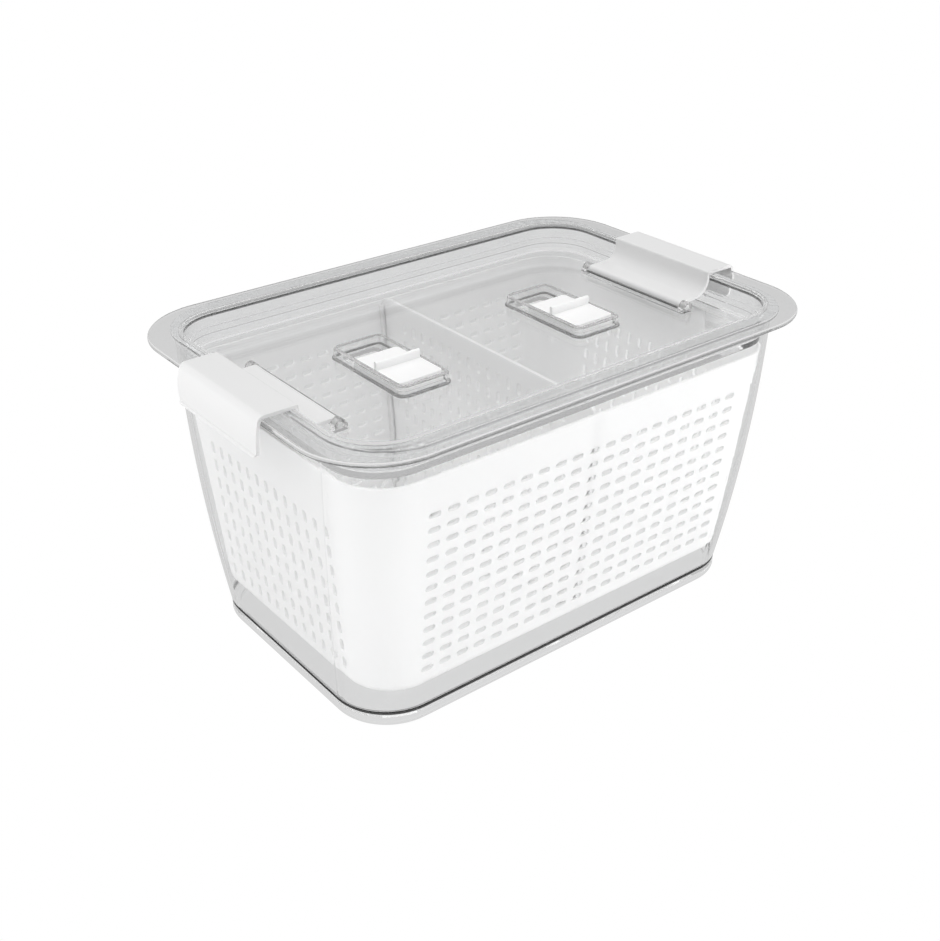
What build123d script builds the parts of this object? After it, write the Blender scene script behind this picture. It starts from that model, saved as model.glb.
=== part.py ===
from build123d import *
import os

# Fridge organizer bin: a clear tub with a clear latching lid, a white perforated
# basket that stands inside it, and a perforated divider across the basket.
# Millimetres. The origin is the middle of the foot on the shelf, Z is up, and the
# long side runs along X.

# Tub
FLANGE_LENGTH = 320.0
FLANGE_WIDTH = 223.0
FLANGE_TOP = 173.5
FLANGE_THICKNESS = 2.5
FLANGE_CORNER = 43.5
FLANGE_EDGE_ROUND = 1.1
FLANGE_REACH_END = 13.4
FLANGE_REACH_SIDE = 12.5
TUB_TAPER_END = 9.9
TUB_TAPER_SIDE = 14.1
TUB_CORNER = 33.0
TUB_WALL = 2.0
TUB_BASE_WALL = 2.6
TUB_BOW = 2.5
FOOT_HEIGHT = 8.0
FOOT_INSET = 0.3
FOOT_ROUND = 2.5
FOOT_RIM = 6.0
FOOT_RECESS = 3.4
GROOVE_HEIGHT = 2.2
GROOVE_DEPTH = 1.2
TUB_FLOOR = 3.0

# Basket
DRIP_SPACE = 14.6
BASKET_BELOW_FLANGE = 22.5
BASKET_RIM_GAP_END = 3.3
BASKET_RIM_GAP_SIDE = 0.8
BASKET_BASE_GAP_END = 4.1
BASKET_BASE_GAP_SIDE = 0.9
BASKET_CORNER = 27.0
BASKET_WALL = 1.8
BASKET_FLOOR = 2.0
BASKET_BOTTOM_ROUND = 6.0
BASKET_RIM_ROUND = 0.6
FOOT_POST_RADIUS = 5.0
FOOT_POST_FROM_END = 32.8
FOOT_POST_FROM_SIDE = 33.8
FOOT_POST_SLOT_GAP = 0.5

# Perforations of the basket, each a slot with round ends
SLOT_LENGTH = 7.5
SLOT_WIDTH = 3.2
LONG_WALL_COLUMN_PITCH = 11.4
LONG_WALL_ROW_PITCH = 8.7
LONG_WALL_SIDE_MARGIN = 27.0
LONG_WALL_TOP_MARGIN = 22.0
LONG_WALL_LOW_MARGIN = 11.0
END_WALL_COLUMN_PITCH = 9.25
END_WALL_ROW_PITCH = 11.55
END_WALL_SIDE_MARGIN = 26.0
END_WALL_TOP_MARGIN = 36.5
END_WALL_LOW_MARGIN = 11.5
FLOOR_PITCH = 13.0
FLOOR_END_MARGIN = 27.0
FLOOR_SIDE_MARGIN = 26.0

# Divider and the guides that hold it
DIVIDER_THICKNESS = 2.0
DIVIDER_RISE = 3.0
DIVIDER_CORNER = 6.0
DIVIDER_FLOOR_GAP = 0.3
DIVIDER_SIDE_GAP = 0.4
DIVIDER_FACE_GAP = 0.3
DIVIDER_SLOT_LENGTH = 7.0
DIVIDER_SLOT_WIDTH = 3.0
DIVIDER_COLUMN_PITCH = 8.75
DIVIDER_ROW_PITCH = 11.4
DIVIDER_SIDE_MARGIN = 12.0
DIVIDER_TOP_MARGIN = 14.0
DIVIDER_LOW_MARGIN = 6.0
GUIDE_THICKNESS = 2.0
GUIDE_DEPTH = 3.0
GUIDE_TOP_DROP = 2.0

# Lid
RIM_OVERLAP_END = 5.1
RIM_OVERLAP_SIDE = 10.8
RIM_THICKNESS = 1.2
RIM_EDGE_ROUND = 0.6
PAN_CLEARANCE = 0.5
PAN_WALL = 2.2
PAN_DEPTH = 15.5
PANEL_THICKNESS = 2.5
LEDGE_DEPTH = 8.0
LEDGE_WIDTH = 1.7
LEDGE_THICKNESS = 4.0
PAN_FLOOR_ROUND = 2.5

# Latches, one over each short end, hinged on pins between lugs on the lid
LATCH_WIDTH = 77.0
LATCH_THICKNESS = 1.8
LATCH_CLEARANCE = 0.3
LATCH_DROP = 20.9
LATCH_CORNER = 6.0
LATCH_BEND = 9.0
LATCH_SHOULDER = 4.0
LATCH_TOP_EDGE = 1.0
LATCH_TIP_RADIUS = 1.4
HINGE_FROM_RIM = 22.0
BARREL_RADIUS = 2.6
BARREL_FLOOR_GAP = 0.5
RAIL_GAP = 0.5
RAIL_THICKNESS = 1.2
LUG_RADIUS = 3.4
LUG_THICKNESS = 4.0
LUG_GAP = 0.4
PIN_RADIUS = 1.7
PIN_CLEARANCE = 0.08
PIN_LENGTH = 3.6

# Vents, a raised frame on the lid with a sliding shutter in it
VENT_FROM_CENTRE = 60.4
VENT_LENGTH = 65.5
VENT_WIDTH = 32.4
VENT_HEIGHT = 6.2
VENT_CORNER = 4.5
VENT_WALL = 1.4
VENT_LIP = 0.5
VENT_EDGE_ROUND = 1.2
VENT_FOOT_WIDTH = 1.0
VENT_FOOT_HEIGHT = 1.0
VENT_FOOT_ROUND = 0.6
VENT_HOLE_LENGTH = 13.0
VENT_HOLE_WIDTH = 22.0
VENT_HOLE_CORNER = 3.0
VENT_HOLE_END_GAP = 2.0
SHUTTER_LENGTH = 42.0
SHUTTER_REST_GAP = 3.2
SHUTTER_CLEARANCE = 0.3
SHUTTER_TONGUE = 2.0
SHUTTER_SKIN = 1.8
SHUTTER_STEP = 1.0
SHUTTER_DECK_DROP = 0.3
SHUTTER_RIB_FROM_FRONT = 20.6
SHUTTER_RIB_THICKNESS = 2.2
SHUTTER_RIB_HEIGHT = 4.6
SHUTTER_RIB_ROUND = 0.9
SHUTTER_POCKET_CORNER = 1.0

# How far a cutter runs past a face that it cuts
CUT_MARGIN = 1.0

# Heights and half sizes that follow from the values above
flange_bottom = FLANGE_TOP - FLANGE_THICKNESS
body_bottom = FOOT_HEIGHT + GROOVE_HEIGHT
tub_floor_top = FOOT_RECESS + TUB_FLOOR
tub_top = (FLANGE_LENGTH / 2 - FLANGE_REACH_END, FLANGE_WIDTH / 2 - FLANGE_REACH_SIDE)
tub_base = (tub_top[0] - TUB_TAPER_END, tub_top[1] - TUB_TAPER_SIDE)
tub_cavity_base = (tub_base[0] - TUB_BASE_WALL, tub_base[1] - TUB_BASE_WALL)
tub_mouth = (tub_top[0] - TUB_WALL, tub_top[1] - TUB_WALL)
tub_mouth_corner = TUB_CORNER - TUB_WALL
basket_bottom = tub_floor_top + DRIP_SPACE
basket_top = FLANGE_TOP - BASKET_BELOW_FLANGE
basket_floor_top = basket_bottom + BASKET_FLOOR
divider_top = basket_top + DIVIDER_RISE
pan = (tub_mouth[0] - PAN_CLEARANCE, tub_mouth[1] - PAN_CLEARANCE)
pan_corner = tub_mouth_corner - PAN_CLEARANCE
pan_inside = (pan[0] - PAN_WALL, pan[1] - PAN_WALL)
pan_inside_corner = pan_corner - PAN_WALL
rim = (pan_inside[0] + RIM_OVERLAP_END, pan_inside[1] + RIM_OVERLAP_SIDE)
rim_corner = pan_inside_corner + (RIM_OVERLAP_END + RIM_OVERLAP_SIDE) / 2
rim_top = FLANGE_TOP + RIM_THICKNESS
panel_top = FLANGE_TOP - PAN_DEPTH
panel_bottom = panel_top - PANEL_THICKNESS
ledge_top = FLANGE_TOP - LEDGE_DEPTH
hinge_x = pan_inside[0] - HINGE_FROM_RIM
hinge_height = panel_top + BARREL_FLOOR_GAP + BARREL_RADIUS
latch_flat_top = hinge_height + BARREL_RADIUS
latch_flat_bottom = latch_flat_top - LATCH_THICKNESS
latch_wall_outer = pan_inside[0] - LATCH_CLEARANCE
latch_top_bottom = rim_top + LATCH_CLEARANCE
latch_top = latch_top_bottom + LATCH_THICKNESS
latch_wall_inner = latch_wall_outer - LATCH_THICKNESS
latch_tip_height = latch_top - LATCH_DROP
flange_edge = (FLANGE_LENGTH / 2 - hinge_x, FLANGE_TOP - hinge_height)
latch_reach = (flange_edge[0] ** 2 + flange_edge[1] ** 2) ** 0.5 + LATCH_CLEARANCE
latch_shoulder = latch_reach + LATCH_THICKNESS
latch_shoulder_x = hinge_x + (latch_shoulder**2 - (latch_top - hinge_height) ** 2) ** 0.5
vent_top = panel_top + VENT_HEIGHT
tongue_bottom = panel_top + SHUTTER_CLEARANCE
tongue_top = tongue_bottom + SHUTTER_TONGUE
lip_bottom = tongue_top + SHUTTER_CLEARANCE
deck_top = vent_top - SHUTTER_DECK_DROP
track = (VENT_WIDTH / 2 - VENT_WALL, VENT_LENGTH / 2 - VENT_WALL)
track_corner = VENT_CORNER - VENT_WALL


def rounded(half_x, half_y, corner, z):
    """A rectangle with round corners, lying level at height z."""
    return Plane.XY.offset(z) * RectangleRounded(2 * half_x, 2 * half_y, corner)


def slab(half, corner, low, high):
    """A rounded rectangle raised from one height to another."""
    return extrude(rounded(half[0], half[1], corner, low), amount=high - low)


def block(low, high):
    """A plain box between two corners."""
    size = [b - a for a, b in zip(low, high)]
    middle = [(a + b) / 2 for a, b in zip(low, high)]
    return Pos(*middle) * Box(*size)


def bowed_half(share, base, top):
    """Half sizes of a bowed body at a share of its height."""
    bow = 4 * TUB_BOW * share * (1 - share)
    return tuple(low + (high - low) * share + bow for low, high in zip(base, top))


def bowed_body(low, high, base, top, corner):
    """The tub's flared body: its sides lean out and bow by TUB_BOW at mid height."""
    sections = []
    steps = 3
    for step in range(steps + 1):
        share = step / steps
        half_x, half_y = bowed_half(share, base, top)
        sections.append(rounded(half_x, half_y, corner, low + (high - low) * share))
    return loft(sections)


def in_cavity(z, end_gap, side_gap):
    """Half sizes that keep a gap to the tub's inside at height z."""
    share = (z - tub_floor_top) / (flange_bottom - tub_floor_top)
    half_x, half_y = bowed_half(share, tub_cavity_base, tub_mouth)
    return (half_x - end_gap, half_y - side_gap)


basket_rim = in_cavity(basket_top, BASKET_RIM_GAP_END, BASKET_RIM_GAP_SIDE)
basket_base = in_cavity(basket_bottom, BASKET_BASE_GAP_END, BASKET_BASE_GAP_SIDE)


def make_tub():
    base = tub_base
    foot = slab((base[0] - FOOT_INSET, base[1] - FOOT_INSET), TUB_CORNER, 0, FOOT_HEIGHT)
    foot = fillet(foot.faces().sort_by(Axis.Z)[0].edges(), FOOT_ROUND)
    groove_half = (base[0] - GROOVE_DEPTH, base[1] - GROOVE_DEPTH)
    groove = slab(groove_half, TUB_CORNER - GROOVE_DEPTH, FOOT_HEIGHT, body_bottom)
    body = bowed_body(body_bottom, flange_bottom, base, tub_top, TUB_CORNER)
    flange = slab((FLANGE_LENGTH / 2, FLANGE_WIDTH / 2), FLANGE_CORNER, flange_bottom, FLANGE_TOP)
    flange = fillet(flange.faces().sort_by(Axis.Z)[-1].edges(), FLANGE_EDGE_ROUND)
    flange = fillet(flange.faces().sort_by(Axis.Z)[0].edges(), FLANGE_EDGE_ROUND)
    cavity = bowed_body(tub_floor_top, flange_bottom, tub_cavity_base, tub_mouth, tub_mouth_corner)
    mouth = slab(tub_mouth, tub_mouth_corner, flange_bottom, FLANGE_TOP + CUT_MARGIN)
    recess_half = (base[0] - FOOT_INSET - FOOT_RIM, base[1] - FOOT_INSET - FOOT_RIM)
    recess = slab(recess_half, TUB_CORNER - FOOT_RIM, -CUT_MARGIN, FOOT_RECESS)
    return foot + groove + body + flange - cavity - mouth - recess


def tapered_body(low, high, inset):
    """The basket's straight-sided flared form between two heights, drawn in by inset."""
    span = basket_top - basket_bottom
    profiles = []
    for base, top in zip(basket_base, basket_rim):
        at_low = base + (top - base) * (low - basket_bottom) / span - inset
        at_high = base + (top - base) * (high - basket_bottom) / span - inset
        profiles.append([(-at_low, low), (at_low, low), (at_high, high), (-at_high, high)])
    reach = FLANGE_LENGTH
    along_y = extrude(Plane.XZ * Polygon(*profiles[0], align=None), amount=reach, both=True)
    along_x = extrude(Plane.YZ * Polygon(*profiles[1], align=None), amount=reach, both=True)
    body = along_y & along_x
    corners = [e for e in body.edges() if abs(e.tangent_at(0.5).Z) > 0.5]
    return fillet(corners, BASKET_CORNER - inset)


def slot_cutter(length, width, depth):
    return extrude(SlotOverall(length, width), amount=depth, both=True)


def count(span, pitch):
    """How many places, one pitch apart, fit along a span."""
    return int(span / pitch) + 1


def grid(half_width, column_pitch, low, top_row, row_pitch):
    """Places of a pattern: columns about the middle, rows from the top row down."""
    columns = count(2 * half_width, column_pitch)
    rows = count(top_row - low, row_pitch)
    places = []
    for column in range(columns):
        across = (column - (columns - 1) / 2) * column_pitch
        for row in range(rows):
            places.append((across, top_row - row * row_pitch))
    return places


def wall_slots():
    """Cutters for the slots in the basket's four walls."""
    middle = ((basket_base[0] + basket_rim[0]) / 2, (basket_base[1] + basket_rim[1]) / 2)
    slant = max(basket_rim[0] - basket_base[0], basket_rim[1] - basket_base[1])
    slot = slot_cutter(SLOT_LENGTH, SLOT_WIDTH, slant / 2 + BASKET_CORNER / 2)
    long_places = grid(
        basket_base[0] - LONG_WALL_SIDE_MARGIN,
        LONG_WALL_COLUMN_PITCH,
        basket_bottom + LONG_WALL_LOW_MARGIN,
        basket_top - LONG_WALL_TOP_MARGIN,
        LONG_WALL_ROW_PITCH,
    )
    end_places = grid(
        basket_base[1] - END_WALL_SIDE_MARGIN,
        END_WALL_COLUMN_PITCH,
        basket_bottom + END_WALL_LOW_MARGIN,
        basket_top - END_WALL_TOP_MARGIN,
        END_WALL_ROW_PITCH,
    )
    cutters = []
    for side in (-1, 1):
        for x, z in long_places:
            lying = Plane(origin=(x, side * middle[1], z), x_dir=(1, 0, 0), z_dir=(0, side, 0))
            cutters.append(lying * slot)
        for y, z in end_places:
            standing = Plane(origin=(side * middle[0], y, z), x_dir=(0, 0, 1), z_dir=(side, 0, 0))
            cutters.append(standing * slot)
    return cutters


def floor_slots():
    """Cutters for the drain slots in the basket's floor, clear of its feet."""
    cutters = []
    slot = slot_cutter(SLOT_LENGTH, SLOT_WIDTH, BASKET_FLOOR + CUT_MARGIN)
    half_rows = (count(2 * (basket_base[1] - FLOOR_SIDE_MARGIN), FLOOR_PITCH) - 1) / 2
    edge_row = half_rows * FLOOR_PITCH
    clear = FOOT_POST_RADIUS + SLOT_LENGTH / 2 + FOOT_POST_SLOT_GAP
    for x, y in grid(basket_base[0] - FLOOR_END_MARGIN, FLOOR_PITCH, -edge_row, edge_row, FLOOR_PITCH):
        if all(abs(x - px) > clear or abs(y - py) > clear for px, py in post_places()):
            cutters.append(Pos(x, y, basket_bottom) * slot)
    return cutters


def post_places():
    """Places of the six small feet that hold the basket off the tub's floor."""
    places = []
    for row in (-1, 1):
        for column in (-1, 0, 1):
            x = column * (basket_base[0] - FOOT_POST_FROM_END)
            y = row * (basket_base[1] - FOOT_POST_FROM_SIDE)
            places.append((x, y))
    return places


def divider_guides():
    """Two ribs down the middle of each long wall, with the divider's edge between them."""
    top = basket_top - GUIDE_TOP_DROP
    ring = tapered_body(basket_floor_top, top, BASKET_WALL / 2)
    ring = ring - tapered_body(basket_bottom, basket_top, BASKET_WALL + GUIDE_DEPTH)
    near = DIVIDER_THICKNESS / 2 + DIVIDER_FACE_GAP
    far = near + GUIDE_THICKNESS
    guides = []
    for side in (-1, 1):
        low_x, high_x = sorted((side * near, side * far))
        guides.append(ring & block((low_x, -FLANGE_WIDTH, 0), (high_x, FLANGE_WIDTH, basket_top)))
    return guides


def make_basket():
    outer = tapered_body(basket_bottom, basket_top, 0)
    outer = fillet(outer.faces().sort_by(Axis.Z)[0].edges(), BASKET_BOTTOM_ROUND)
    inner = tapered_body(basket_floor_top, basket_top + CUT_MARGIN, BASKET_WALL)
    inner = fillet(inner.faces().sort_by(Axis.Z)[0].edges(), BASKET_BOTTOM_ROUND - BASKET_WALL)
    basket = outer - inner
    basket = fillet(basket.faces().sort_by(Axis.Z)[-1].edges(), BASKET_RIM_ROUND)
    basket = basket - wall_slots() - floor_slots()
    for guide in divider_guides():
        basket = basket + guide
    post_height = basket_bottom + BASKET_FLOOR / 2 - tub_floor_top
    post = extrude(Circle(FOOT_POST_RADIUS), amount=post_height)
    for x, y in post_places():
        basket = basket + Pos(x, y, tub_floor_top) * post
    return basket


def edges_across(plate):
    """The divider's edges that run through its thickness, lowest first."""
    edges = [e for e in plate.edges() if abs(e.tangent_at(0.5).X) > 0.9]
    return sorted(edges, key=lambda e: e.center().Z)


def make_divider():
    inset = BASKET_WALL + DIVIDER_SIDE_GAP
    plate = tapered_body(basket_floor_top + DIVIDER_FLOOR_GAP, divider_top, inset)
    half = DIVIDER_THICKNESS / 2
    plate = plate & block((-half, -FLANGE_WIDTH, 0), (half, FLANGE_WIDTH, FLANGE_TOP))
    plate = fillet(edges_across(plate)[:2], BASKET_BOTTOM_ROUND)
    plate = fillet(edges_across(plate)[-2:], DIVIDER_CORNER)
    slot = slot_cutter(DIVIDER_SLOT_LENGTH, DIVIDER_SLOT_WIDTH, DIVIDER_THICKNESS)
    places = grid(
        basket_base[1] - DIVIDER_SIDE_MARGIN,
        DIVIDER_COLUMN_PITCH,
        basket_floor_top + DIVIDER_LOW_MARGIN,
        divider_top - DIVIDER_TOP_MARGIN,
        DIVIDER_ROW_PITCH,
    )
    cutters = []
    for y, z in places:
        cutters.append(Plane(origin=(0, y, z), x_dir=(0, 0, 1), z_dir=(1, 0, 0)) * slot)
    return plate - cutters


def make_pan():
    """The lid's sunken pan: a deep ledge step, the panel, and the rim that lies on the flange."""
    step_half = (pan[0] - LEDGE_WIDTH, pan[1] - LEDGE_WIDTH)
    step_inside = (pan_inside[0] - LEDGE_WIDTH, pan_inside[1] - LEDGE_WIDTH)
    rim_plate = slab(rim, rim_corner, FLANGE_TOP, rim_top)
    rim_plate = fillet(rim_plate.faces().sort_by(Axis.Z)[-1].edges(), RIM_EDGE_ROUND)
    upper = slab(pan, pan_corner, ledge_top - LEDGE_THICKNESS, FLANGE_TOP)
    lower = slab(step_half, pan_corner - LEDGE_WIDTH, panel_bottom, ledge_top)
    lower = fillet(lower.faces().sort_by(Axis.Z)[0].edges(), PAN_FLOOR_ROUND / 2)
    upper_hollow = slab(pan_inside, pan_inside_corner, ledge_top, rim_top + CUT_MARGIN)
    lower_hollow = slab(step_inside, pan_inside_corner - LEDGE_WIDTH, panel_top, ledge_top)
    lower_hollow = fillet(lower_hollow.faces().sort_by(Axis.Z)[0].edges(), PAN_FLOOR_ROUND)
    pan_body = rim_plate + upper + lower - upper_hollow - lower_hollow
    seat_low = latch_flat_bottom - LATCH_CLEARANCE
    seat_half = LATCH_WIDTH / 2 + LUG_GAP
    for side in (-1, 1):
        low_x, high_x = sorted((side * hinge_x, side * pan_inside[0]))
        seat = block((low_x, -seat_half, seat_low), (high_x, seat_half, ledge_top + CUT_MARGIN))
        pan_body = pan_body - seat
    return pan_body


def make_lugs(side):
    """Two clear lugs that carry the pins of one latch, and the low rail between them."""
    near = LATCH_WIDTH / 2 + LUG_GAP
    rail_x = hinge_x - BARREL_RADIUS - RAIL_GAP
    low_x, high_x = sorted((side * (rail_x - RAIL_THICKNESS), side * rail_x))
    rail_end = near + LUG_THICKNESS
    lugs = [block((low_x, -rail_end, panel_bottom), (high_x, rail_end, hinge_height))]
    for end in (-1, 1):
        middle_y = end * (near + LUG_THICKNESS / 2)
        place = Plane(origin=(side * hinge_x, middle_y, hinge_height), z_dir=(0, 1, 0))
        round_part = place * extrude(Circle(LUG_RADIUS), amount=LUG_THICKNESS / 2, both=True)
        low = (side * hinge_x - LUG_RADIUS, middle_y - LUG_THICKNESS / 2, panel_bottom)
        high = (side * hinge_x + LUG_RADIUS, middle_y + LUG_THICKNESS / 2, hinge_height)
        hole = place * extrude(Circle(PIN_RADIUS + PIN_CLEARANCE), amount=LUG_THICKNESS, both=True)
        lugs.append(round_part + block(low, high) - hole)
    return lugs


def vent_frame(side):
    """A raised frame whose lip holds the shutter's tongues down."""
    place = Pos(side * VENT_FROM_CENTRE, 0, 0)
    half = (VENT_WIDTH / 2, VENT_LENGTH / 2)
    frame = slab(half, VENT_CORNER, panel_bottom, vent_top)
    frame = fillet(frame.faces().sort_by(Axis.Z)[-1].edges(), VENT_EDGE_ROUND)
    foot_half = (half[0] + VENT_FOOT_WIDTH, half[1] + VENT_FOOT_WIDTH)
    foot_top = panel_top + VENT_FOOT_HEIGHT
    foot = slab(foot_half, VENT_CORNER + VENT_FOOT_WIDTH, panel_bottom, foot_top)
    foot = fillet(foot.faces().sort_by(Axis.Z)[-1].edges(), VENT_FOOT_ROUND)
    channel = slab(track, track_corner, panel_top, lip_bottom)
    mouth_half = (track[0] - VENT_LIP, track[1] - VENT_LIP)
    mouth = slab(mouth_half, track_corner - VENT_LIP, panel_top, vent_top + CUT_MARGIN)
    return place * (frame + foot - channel - mouth)


def vent_hole(side):
    """The opening in the panel at the back of a vent, which the shutter closes."""
    middle_y = track[1] - VENT_HOLE_END_GAP - VENT_HOLE_LENGTH / 2
    half = (VENT_HOLE_WIDTH / 2, VENT_HOLE_LENGTH / 2)
    hole = slab(half, VENT_HOLE_CORNER, panel_bottom - CUT_MARGIN, panel_top + CUT_MARGIN)
    return Pos(side * VENT_FROM_CENTRE, middle_y, 0) * hole


def make_lid():
    lid = make_pan()
    for side in (-1, 1):
        lid = lid + vent_frame(side) - vent_hole(side)
        for lug in make_lugs(side):
            lid = lid + lug
    return lid


def beside_hinge(radius, z):
    """How far from the middle an arc about the right hinge passes at height z."""
    return hinge_x + (radius**2 - (z - hinge_height) ** 2) ** 0.5


def upright(low, high):
    """A rectangle in the latch's end view, between two corners."""
    return Polygon(low, (high[0], low[1]), high, (low[0], high[1]), align=None)


def latch_profile():
    """The latch seen from the end: flat, wall, top and a drop that is an arc about the hinge."""
    ring = Circle(latch_reach + LATCH_THICKNESS) - Circle(latch_reach)
    drop_window = upright((latch_wall_outer, latch_tip_height), (FLANGE_LENGTH, latch_top))
    drop = Pos(hinge_x, hinge_height) * ring & drop_window
    tip_x = beside_hinge(latch_reach + LATCH_THICKNESS / 2, latch_tip_height)
    tip_x = tip_x + LATCH_TIP_RADIUS - LATCH_THICKNESS / 2
    tip = Pos(tip_x, latch_tip_height) * Circle(LATCH_TIP_RADIUS)
    top = upright((latch_wall_inner, latch_top_bottom), (latch_shoulder_x, latch_top))
    wall = upright((latch_wall_inner, latch_flat_bottom), (latch_wall_outer, latch_top))
    flat = upright((hinge_x, latch_flat_bottom), (latch_wall_outer, latch_flat_top))
    barrel = Pos(hinge_x, hinge_height) * Circle(BARREL_RADIUS)
    return drop + tip + top + wall + flat + barrel


def round_long_edge(latch, x, z, radius):
    """Rounds the latch's edge along Y that passes through x and z."""
    found = []
    for edge in latch.edges():
        middle = edge.center()
        along_y = abs(edge.tangent_at(0.5).Y) > 0.99
        if along_y and abs(middle.X - x) < 0.01 and abs(middle.Z - z) < 0.01:
            found.append(edge)
    return fillet(found, radius)


def make_latch(side):
    latch = extrude(Plane.XZ * latch_profile(), amount=LATCH_WIDTH / 2, both=True)
    latch = round_long_edge(latch, latch_wall_inner, latch_flat_top, LATCH_BEND)
    outer_bend = LATCH_BEND + LATCH_THICKNESS
    latch = round_long_edge(latch, latch_wall_outer, latch_flat_bottom, outer_bend)
    latch = round_long_edge(latch, latch_wall_inner, latch_top, LATCH_TOP_EDGE)
    latch = round_long_edge(latch, latch_shoulder_x, latch_top, LATCH_SHOULDER)
    lowest = latch_tip_height - LATCH_TIP_RADIUS
    height = 2 * (latch_top - lowest)
    outline = Pos(0, lowest + height / 2) * RectangleRounded(LATCH_WIDTH, height, LATCH_CORNER)
    latch = latch & extrude(Plane.YZ * outline, amount=FLANGE_LENGTH)
    pin_reach = LATCH_WIDTH / 2 + LUG_GAP + PIN_LENGTH
    hinge = Plane(origin=(hinge_x, 0, hinge_height), z_dir=(0, 1, 0))
    latch = latch + hinge * extrude(Circle(PIN_RADIUS), amount=pin_reach, both=True)
    return latch if side > 0 else latch.mirror(Plane.YZ)


def make_shutter(side):
    """A vent's sliding shutter, near the front of its frame: tongues, deck and finger rib."""
    middle_y = -track[1] + SHUTTER_REST_GAP + SHUTTER_LENGTH / 2
    half_y = SHUTTER_LENGTH / 2
    tongue_half_x = track[0] - SHUTTER_CLEARANCE
    tongue_corner = track_corner - SHUTTER_CLEARANCE
    deck_half_x = tongue_half_x - VENT_LIP
    deck_half_y = half_y - VENT_LIP
    tongue = slab((tongue_half_x, half_y), tongue_corner, tongue_bottom, tongue_top)
    deck = slab((deck_half_x, deck_half_y), tongue_corner - VENT_LIP, tongue_bottom, deck_top)
    rib_y = SHUTTER_RIB_FROM_FRONT - half_y
    step_top = deck_top - SHUTTER_STEP
    step = block((-VENT_WIDTH, rib_y, step_top), (VENT_WIDTH, half_y, deck_top + CUT_MARGIN))
    pocket_half = (deck_half_x - SHUTTER_SKIN, deck_half_y - SHUTTER_SKIN)
    pocket_low = tongue_bottom - CUT_MARGIN
    pocket = slab(pocket_half, SHUTTER_POCKET_CORNER, pocket_low, step_top - SHUTTER_SKIN)
    rib = block(
        (-deck_half_x, rib_y, step_top),
        (deck_half_x, rib_y + SHUTTER_RIB_THICKNESS, deck_top + SHUTTER_RIB_HEIGHT),
    )
    rib_ends = [e for e in rib.edges() if abs(e.tangent_at(0.5).X) > 0.9 and e.center().Z > deck_top]
    rib = fillet(rib_ends, SHUTTER_RIB_ROUND)
    shutter = tongue + deck - step + rib - pocket
    return Pos(side * VENT_FROM_CENTRE, middle_y, 0) * shutter


parts = {
    "tub": make_tub(),
    "basket": make_basket(),
    "divider": make_divider(),
    "lid": make_lid(),
    "latch_left": make_latch(-1),
    "latch_right": make_latch(1),
    "vent_shutter_left": make_shutter(-1),
    "vent_shutter_right": make_shutter(1),
}
os.makedirs("parts", exist_ok=True)
for name, shape in parts.items():
    export_step(shape, f"parts/{name}.step")
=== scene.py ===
import math

import bpy
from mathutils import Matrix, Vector

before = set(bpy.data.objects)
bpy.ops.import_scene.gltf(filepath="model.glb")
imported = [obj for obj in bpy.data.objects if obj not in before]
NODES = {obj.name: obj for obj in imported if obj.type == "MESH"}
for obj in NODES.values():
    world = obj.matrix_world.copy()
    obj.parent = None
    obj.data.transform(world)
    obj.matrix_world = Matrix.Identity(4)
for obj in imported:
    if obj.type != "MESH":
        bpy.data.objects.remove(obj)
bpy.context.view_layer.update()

WHITE = (1, 1, 1, 1)

# The photograph's camera, in metres and degrees
PHOTO_WIDTH = 940
FOCAL_PIXELS = 1307.4
SENSOR_WIDTH = 36.0
CAMERA_PLACE = (-0.41744, -0.51872, 0.44855)
CAMERA_AZIMUTH = -38.361
CAMERA_ELEVATION = 29.243
NEAREST_SEEN = 0.01

# The floor lights the object from below, strongly up to the first distance from the middle
# and faintly from the second one on
FLOOR_SIZE = 24.0
FLOOR_DISTANCES = (0.9, 2.4)
FLOOR_GLOWS = (0.72, 0.20)

# The sky brightens as the upward part of a direction goes from the first limit to the second.
# Clear and glossy surfaces show a more even sky than the one that lights the white pieces.
SKY_LIMITS = (0.1, 0.9)
SKY_GLOWS = (0.26, 1.40)
MIRRORED_GLOWS = (0.36, 0.95)

# The glow of the floor and the sky where the camera looks straight at them: plain white
BACKDROP_GLOW = 1.0

# Long low lights, in metres and watts: the side that each one is on and how far out it is
STRIP_LENGTH = 1.6
STRIP_HEIGHT = 0.20
STRIP_LEVEL = 0.09
STRIPS = {
    "front_strip": {"side": (0.62, -0.78, 0), "distance": 0.62, "power": 4.3},
    "end_strip": {"side": (-0.94, 0.34, 0), "distance": 0.68, "power": 3.3},
}

# Clear plastic: its tint, and the grey that it turns to where it is seen edge on
TUB_TINT = (0.978, 0.980, 0.981)
LID_TINT = (0.965, 0.968, 0.970)
EDGE_TINT = 0.60
EDGE_POWER = 3.0
CLEAR_INDEX = 1.5
CLEAR_ROUGHNESS = (0.01, 0.03)

# How much a wall at a slant holds back the light on its way to the white pieces, and how often
# light may be mirrored or may bounce before it leaves a clear wall
SLANT_POWER = 4.0
MOST_MIRRORINGS = 2
MOST_BOUNCES = 7

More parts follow.
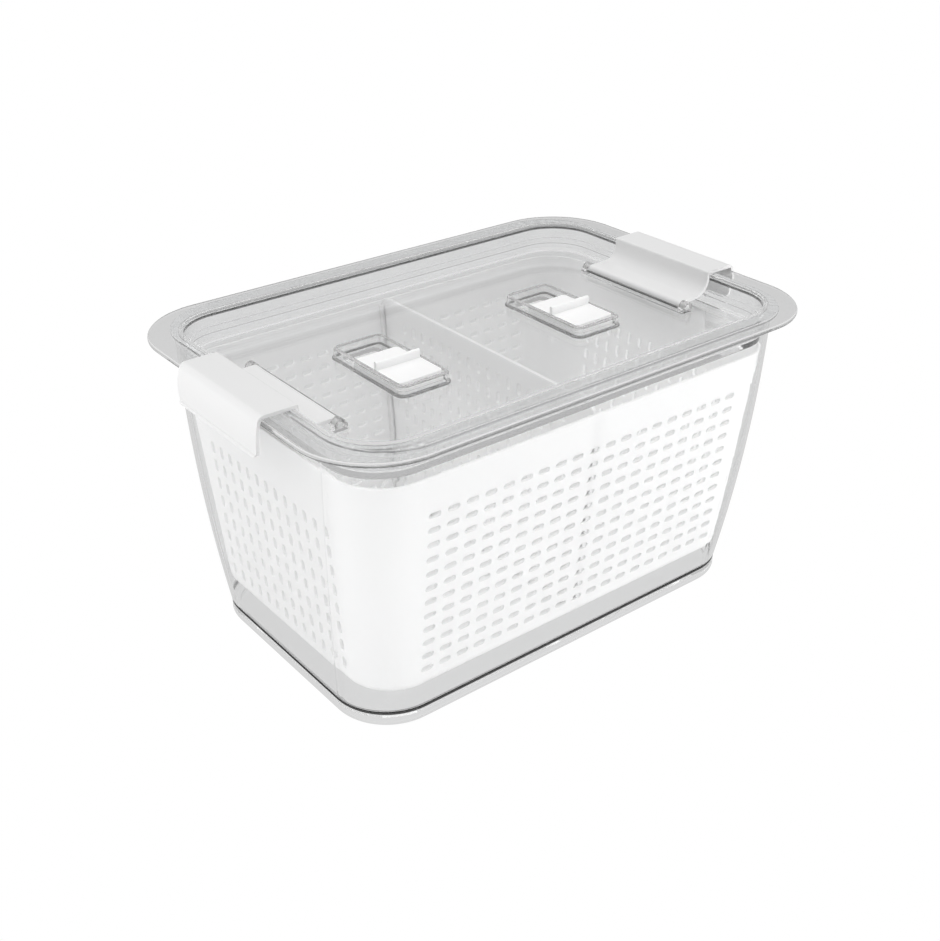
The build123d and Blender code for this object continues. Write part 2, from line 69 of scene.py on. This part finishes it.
# Painted shade on the clear pieces: dark lines painted into the plastic's tint where shade and
# dark refraction fall, at the foot groove, the flange and rim crease, along the hinge rail,
# round the vent frames and on the lugs. Each is a box, and the tint of the plastic painted in
# it.
# A box has a low and a high limit for the distances from the two middle planes and the height.
ANYWHERE = (-1.0, 1.0)
# The dark line at the foot groove is painted shade, not a seam in the plastic.
GROOVE_SHADE = (ANYWHERE, ANYWHERE, (0.0079, 0.0103), 0.012)
FLANGE_SHADE_LINE = (ANYWHERE, ANYWHERE, (0.1713, 0.1720), 0.30)
RAIL_SHADE = ((0.1150, 0.1171), (-1.0, 0.0385), (0.1602, 0.1620), 0.10)
VENT_FOOT_SHADE = ((0.0430, 0.0778), (-1.0, 0.0340), (0.1581, 0.1591), 0.20)
VENT_EDGE_SHADE = ((0.0430, 0.0778), (-1.0, 0.0340), (0.1632, 0.1650), 0.45)
LUG_SHADE = ((0.1160, 0.1240), (0.0385, 0.0435), (0.1581, 0.1660), 0.70)
RIM_SHADE_LINE = (ANYWHERE, ANYWHERE, (0.1713, 0.1723), 0.12)
TUB_SHADE_LINES = (GROOVE_SHADE, FLANGE_SHADE_LINE)
LID_SHADE_LINES = (RAIL_SHADE, VENT_FOOT_SHADE, VENT_EDGE_SHADE, LUG_SHADE, RIM_SHADE_LINE)

# White plastic: the two greys that it varies between, and how deep light gets into it
BASKET_FINISH = {"greys": (0.93, 0.95), "roughness": 0.42, "depth": 0.003}
# The latches are the same white plastic as the basket, given darker greys as painted shade.
LATCH_SHADED_FINISH = {"greys": (0.76, 0.78), "roughness": 0.32, "depth": 0}
SHUTTER_FINISH = {"greys": (0.91, 0.93), "roughness": 0.32, "depth": 0}
ROUGHNESS_CHANGE = 0.02

# Noise: its scale and its detail, and the range that most of its values lie in
CLEAR_ROUGHNESS_NOISE = (60, 3)
CLEAR_WAVE_NOISE = (22, 2)
WHITE_TONE_NOISE = (14, 3)
WHITE_ROUGHNESS_NOISE = (90, 2)
WHITE_GRAIN_NOISE = (600, 2)
NOISE_RANGE = (0.3, 0.7)

# Unevenness of a surface: its strength and its height in metres
CLEAR_WAVES = (0.01, 0.001)
WHITE_GRAIN = (0.02, 0.0001)


def grey(level):
    return (level, level, level, 1)


def new_material(name):
    """An empty node material, with its tree and its output node."""
    material = bpy.data.materials.new(name)
    material.use_nodes = True
    tree = material.node_tree
    tree.nodes.clear()
    return material, tree, tree.nodes.new("ShaderNodeOutputMaterial")


def feed(tree, socket, value):
    """Gives an input a constant, or the output of another node."""
    if isinstance(value, bpy.types.NodeSocket):
        tree.links.new(value, socket)
    else:
        socket.default_value = value


def calculate(tree, operation, *values):
    node = tree.nodes.new("ShaderNodeMath")
    node.operation = operation
    for socket, value in zip(node.inputs, values):
        feed(tree, socket, value)
    return node.outputs["Value"]


def maximum(tree, first, second):
    return calculate(tree, "MAXIMUM", first, second)


def map_range(tree, value, from_limits, to_limits, curve):
    node = tree.nodes.new("ShaderNodeMapRange")
    node.interpolation_type = curve
    node.inputs["From Min"].default_value, node.inputs["From Max"].default_value = from_limits
    node.inputs["To Min"].default_value, node.inputs["To Max"].default_value = to_limits
    tree.links.new(value, node.inputs["Value"])
    return node.outputs["Result"]


def mix_values(tree, kind, share, first, second):
    """Mixes two colours or two plain numbers."""
    node = tree.nodes.new("ShaderNodeMix")
    node.data_type = kind
    feed(tree, node.inputs["Factor"], share)
    feed(tree, node.inputs["A"], first)
    feed(tree, node.inputs["B"], second)
    return node.outputs["Result"]


def mix_shaders(tree, share, first, second):
    node = tree.nodes.new("ShaderNodeMixShader")
    tree.links.new(share, node.inputs["Fac"])
    tree.links.new(first, node.inputs[1])
    tree.links.new(second, node.inputs[2])
    return node.outputs["Shader"]


def noise(tree, scale, detail):
    """Noise in the object's own metres, so that it has one scale on every piece."""
    place = tree.nodes.new("ShaderNodeTexCoord")
    texture = tree.nodes.new("ShaderNodeTexNoise")
    texture.inputs["Scale"].default_value = scale
    texture.inputs["Detail"].default_value = detail
    tree.links.new(place.outputs["Object"], texture.inputs["Vector"])
    return texture.outputs["Fac"]


def spread_noise(tree, settings, limits):
    """Noise that is spread over a range."""
    return map_range(tree, noise(tree, *settings), NOISE_RANGE, limits, "LINEAR")


def unevenness(tree, settings, strength, height):
    node = tree.nodes.new("ShaderNodeBump")
    node.inputs["Strength"].default_value = strength
    node.inputs["Distance"].default_value = height
    tree.links.new(noise(tree, *settings), node.inputs["Height"])
    return node.outputs["Normal"]


def slant(tree, power):
    """Zero where a surface faces the light or the eye, and one where it is seen edge on."""
    weight = tree.nodes.new("ShaderNodeLayerWeight")
    weight.inputs["Blend"].default_value = 0.5
    return calculate(tree, "POWER", weight.outputs["Facing"], power)


def inside(tree, box):
    """One inside a box that is given by its distances from the middle planes, else zero."""
    place = tree.nodes.new("ShaderNodeTexCoord")
    distances = tree.nodes.new("ShaderNodeVectorMath")
    distances.operation = "ABSOLUTE"
    tree.links.new(place.outputs["Object"], distances.inputs[0])
    split = tree.nodes.new("ShaderNodeSeparateXYZ")
    tree.links.new(distances.outputs["Vector"], split.inputs["Vector"])
    within = [
        calculate(tree, "COMPARE", split.outputs[axis], (low + high) / 2, (high - low) / 2)
        for axis, (low, high) in zip("XYZ", box)
    ]
    flat = calculate(tree, "MINIMUM", within[0], within[1])
    return calculate(tree, "MINIMUM", flat, within[2])


def clear_plastic(name, tint, shade_lines):
    """Clear moulded plastic, with painted shade: dark lines painted into its tint where shade
    and dark refraction fall.

    Light on its way to the white pieces passes straight through, and light that is trapped
    in a wall leaves it after a few bounces, as it does where real plastic scatters a little.
    """
    material, tree, output = new_material(name)
    tone = mix_values(tree, "RGBA", slant(tree, EDGE_POWER), (*tint, 1), grey(EDGE_TINT))
    # Painted shade: each box darkens the plastic's tint where a dark line of shade shows.
    for *box, shade_tint in shade_lines:
        tone = mix_values(tree, "RGBA", inside(tree, box), tone, grey(shade_tint))
    roughness = spread_noise(tree, CLEAR_ROUGHNESS_NOISE, CLEAR_ROUGHNESS)
    waves = unevenness(tree, CLEAR_WAVE_NOISE, *CLEAR_WAVES)
    plastic = tree.nodes.new("ShaderNodeBsdfPrincipled")
    plastic.inputs["Transmission Weight"].default_value = 1.0
    plastic.inputs["IOR"].default_value = CLEAR_INDEX
    tree.links.new(tone, plastic.inputs["Base Color"])
    tree.links.new(roughness, plastic.inputs["Roughness"])
    tree.links.new(waves, plastic.inputs["Normal"])

    lighting_through = tree.nodes.new("ShaderNodeBsdfTransparent")
    passed = map_range(tree, slant(tree, SLANT_POWER), (0, 1), (1, 0), "SMOOTHSTEP")
    tree.links.new(passed, lighting_through.inputs["Color"])
    leaving = tree.nodes.new("ShaderNodeBsdfTransparent")
    leaving.inputs["Color"].default_value = WHITE

    path = tree.nodes.new("ShaderNodeLightPath")
    lighting = maximum(tree, path.outputs["Is Shadow Ray"], path.outputs["Is Diffuse Ray"])
    trapped = maximum(
        tree,
        calculate(tree, "GREATER_THAN", path.outputs["Glossy Depth"], MOST_MIRRORINGS),
        calculate(tree, "GREATER_THAN", path.outputs["Ray Depth"], MOST_BOUNCES),
    )
    lit = mix_shaders(tree, lighting, plastic.outputs["BSDF"], lighting_through.outputs["BSDF"])
    finish = mix_shaders(tree, trapped, lit, leaving.outputs["BSDF"])
    tree.links.new(finish, output.inputs["Surface"])
    return material


def white_plastic(name, greys, roughness, depth):
    """White moulded plastic: a satin skin, a faint change of tone, and light inside it."""
    material, tree, output = new_material(name)
    low, high = greys
    tone = mix_values(tree, "RGBA", noise(tree, *WHITE_TONE_NOISE), grey(low), grey(high))
    limits = (roughness - ROUGHNESS_CHANGE, roughness + ROUGHNESS_CHANGE)
    satin = spread_noise(tree, WHITE_ROUGHNESS_NOISE, limits)
    grain = unevenness(tree, WHITE_GRAIN_NOISE, *WHITE_GRAIN)
    plastic = tree.nodes.new("ShaderNodeBsdfPrincipled")
    tree.links.new(tone, plastic.inputs["Base Color"])
    tree.links.new(satin, plastic.inputs["Roughness"])
    tree.links.new(grain, plastic.inputs["Normal"])
    if depth > 0:
        plastic.inputs["Subsurface Weight"].default_value = 1.0
        plastic.inputs["Subsurface Radius"].default_value = (1, 1, 1)
        plastic.inputs["Subsurface Scale"].default_value = depth
    tree.links.new(plastic.outputs["BSDF"], output.inputs["Surface"])
    return material


def dress(material, *nodes):
    """Gives CAD nodes their finish, on every slot that they have."""
    for node in nodes:
        mesh = NODES[node].data
        if not mesh.materials:
            mesh.materials.append(material)
        for index in range(len(mesh.materials)):
            mesh.materials[index] = material


def plain_to_camera(tree, glow):
    """Swaps a glow for plain white where the camera looks straight at it."""
    white = tree.nodes.new(glow.bl_idname)
    white.inputs["Color"].default_value = WHITE
    white.inputs["Strength"].default_value = BACKDROP_GLOW
    path = tree.nodes.new("ShaderNodeLightPath")
    return mix_shaders(tree, path.outputs["Is Camera Ray"], glow.outputs[0], white.outputs[0])


def make_floor():
    """A pale floor that lights the object from below, less so far away."""
    half = FLOOR_SIZE / 2
    corners = [(-half, -half, 0), (half, -half, 0), (half, half, 0), (-half, half, 0)]
    mesh = bpy.data.meshes.new("floor")
    mesh.from_pydata(corners, [], [(0, 1, 2, 3)])
    floor = bpy.data.objects.new("floor", mesh)
    bpy.context.collection.objects.link(floor)
    material, tree, output = new_material("floor_white")
    place = tree.nodes.new("ShaderNodeTexCoord")
    away = tree.nodes.new("ShaderNodeVectorMath")
    away.operation = "LENGTH"
    tree.links.new(place.outputs["Object"], away.inputs[0])
    glow = tree.nodes.new("ShaderNodeEmission")
    strength = map_range(
        tree, away.outputs["Value"], FLOOR_DISTANCES, FLOOR_GLOWS, "SMOOTHSTEP"
    )
    tree.links.new(strength, glow.inputs["Strength"])
    tree.links.new(plain_to_camera(tree, glow), output.inputs["Surface"])
    mesh.materials.append(material)


def make_world():
    """A pale sky that looks white to the camera and more even in clear and glossy surfaces."""
    world = bpy.data.worlds.new("studio")
    bpy.context.scene.world = world
    world.use_nodes = True
    tree = world.node_tree
    tree.nodes.clear()
    output = tree.nodes.new("ShaderNodeOutputWorld")
    place = tree.nodes.new("ShaderNodeTexCoord")
    split = tree.nodes.new("ShaderNodeSeparateXYZ")
    tree.links.new(place.outputs["Generated"], split.inputs["Vector"])
    upward = split.outputs["Z"]
    lighting = map_range(tree, upward, SKY_LIMITS, SKY_GLOWS, "SMOOTHSTEP")
    mirrored = map_range(tree, upward, SKY_LIMITS, MIRRORED_GLOWS, "SMOOTHSTEP")
    path = tree.nodes.new("ShaderNodeLightPath")
    clear = maximum(tree, path.outputs["Is Glossy Ray"], path.outputs["Is Transmission Ray"])
    glow = tree.nodes.new("ShaderNodeBackground")
    glow.inputs["Color"].default_value = WHITE
    tree.links.new(
        mix_values(tree, "FLOAT", clear, lighting, mirrored), glow.inputs["Strength"]
    )
    tree.links.new(plain_to_camera(tree, glow), output.inputs["Surface"])


def make_strips():
    """Soft lights in front and at the left end, about as high as the closed bin."""
    for name, strip in STRIPS.items():
        data = bpy.data.lights.new(name, "AREA")
        data.shape = "RECTANGLE"
        data.size = STRIP_LENGTH
        data.size_y = STRIP_HEIGHT
        data.energy = strip["power"]
        lamp = bpy.data.objects.new(name, data)
        side = Vector(strip["side"]).normalized()
        lamp.location = side * strip["distance"] + Vector((0, 0, STRIP_LEVEL))
        lamp.rotation_euler = side.to_track_quat("Z", "Y").to_euler()
        lamp.visible_camera = False
        lamp.visible_glossy = False
        lamp.visible_transmission = False
        bpy.context.collection.objects.link(lamp)


def make_camera():
    """The photograph's viewpoint, with no roll."""
    data = bpy.data.cameras.new("photo_camera")
    data.sensor_fit = "HORIZONTAL"
    data.sensor_width = SENSOR_WIDTH
    data.lens = FOCAL_PIXELS / PHOTO_WIDTH * SENSOR_WIDTH
    data.clip_start = NEAREST_SEEN
    camera = bpy.data.objects.new("photo_camera", data)
    bpy.context.collection.objects.link(camera)
    azimuth = math.radians(CAMERA_AZIMUTH)
    elevation = math.radians(CAMERA_ELEVATION)
    back = Vector((
        math.sin(azimuth) * math.cos(elevation),
        -math.cos(azimuth) * math.cos(elevation),
        math.sin(elevation),
    ))
    camera.location = CAMERA_PLACE
    camera.rotation_euler = (-back).to_track_quat("-Z", "Y").to_euler()
    bpy.context.scene.camera = camera


def dress_all():
    # The tub and the lid carry their painted shade lines.
    dress(clear_plastic("tub_clear", TUB_TINT, TUB_SHADE_LINES), "tub")
    dress(clear_plastic("lid_clear", LID_TINT, LID_SHADE_LINES), "lid")
    dress(white_plastic("basket_white", **BASKET_FINISH), "basket", "divider")
    # The latches' darker white is painted shade.
    dress(white_plastic("latch_white_painted_shade", **LATCH_SHADED_FINISH), "latch_left", "latch_right")
    shutters = ("vent_shutter_left", "vent_shutter_right")
    dress(white_plastic("shutter_white", **SHUTTER_FINISH), *shutters)


bpy.context.scene.view_settings.view_transform = "Standard"
make_camera()
make_world()
make_strips()
make_floor()
dress_all()
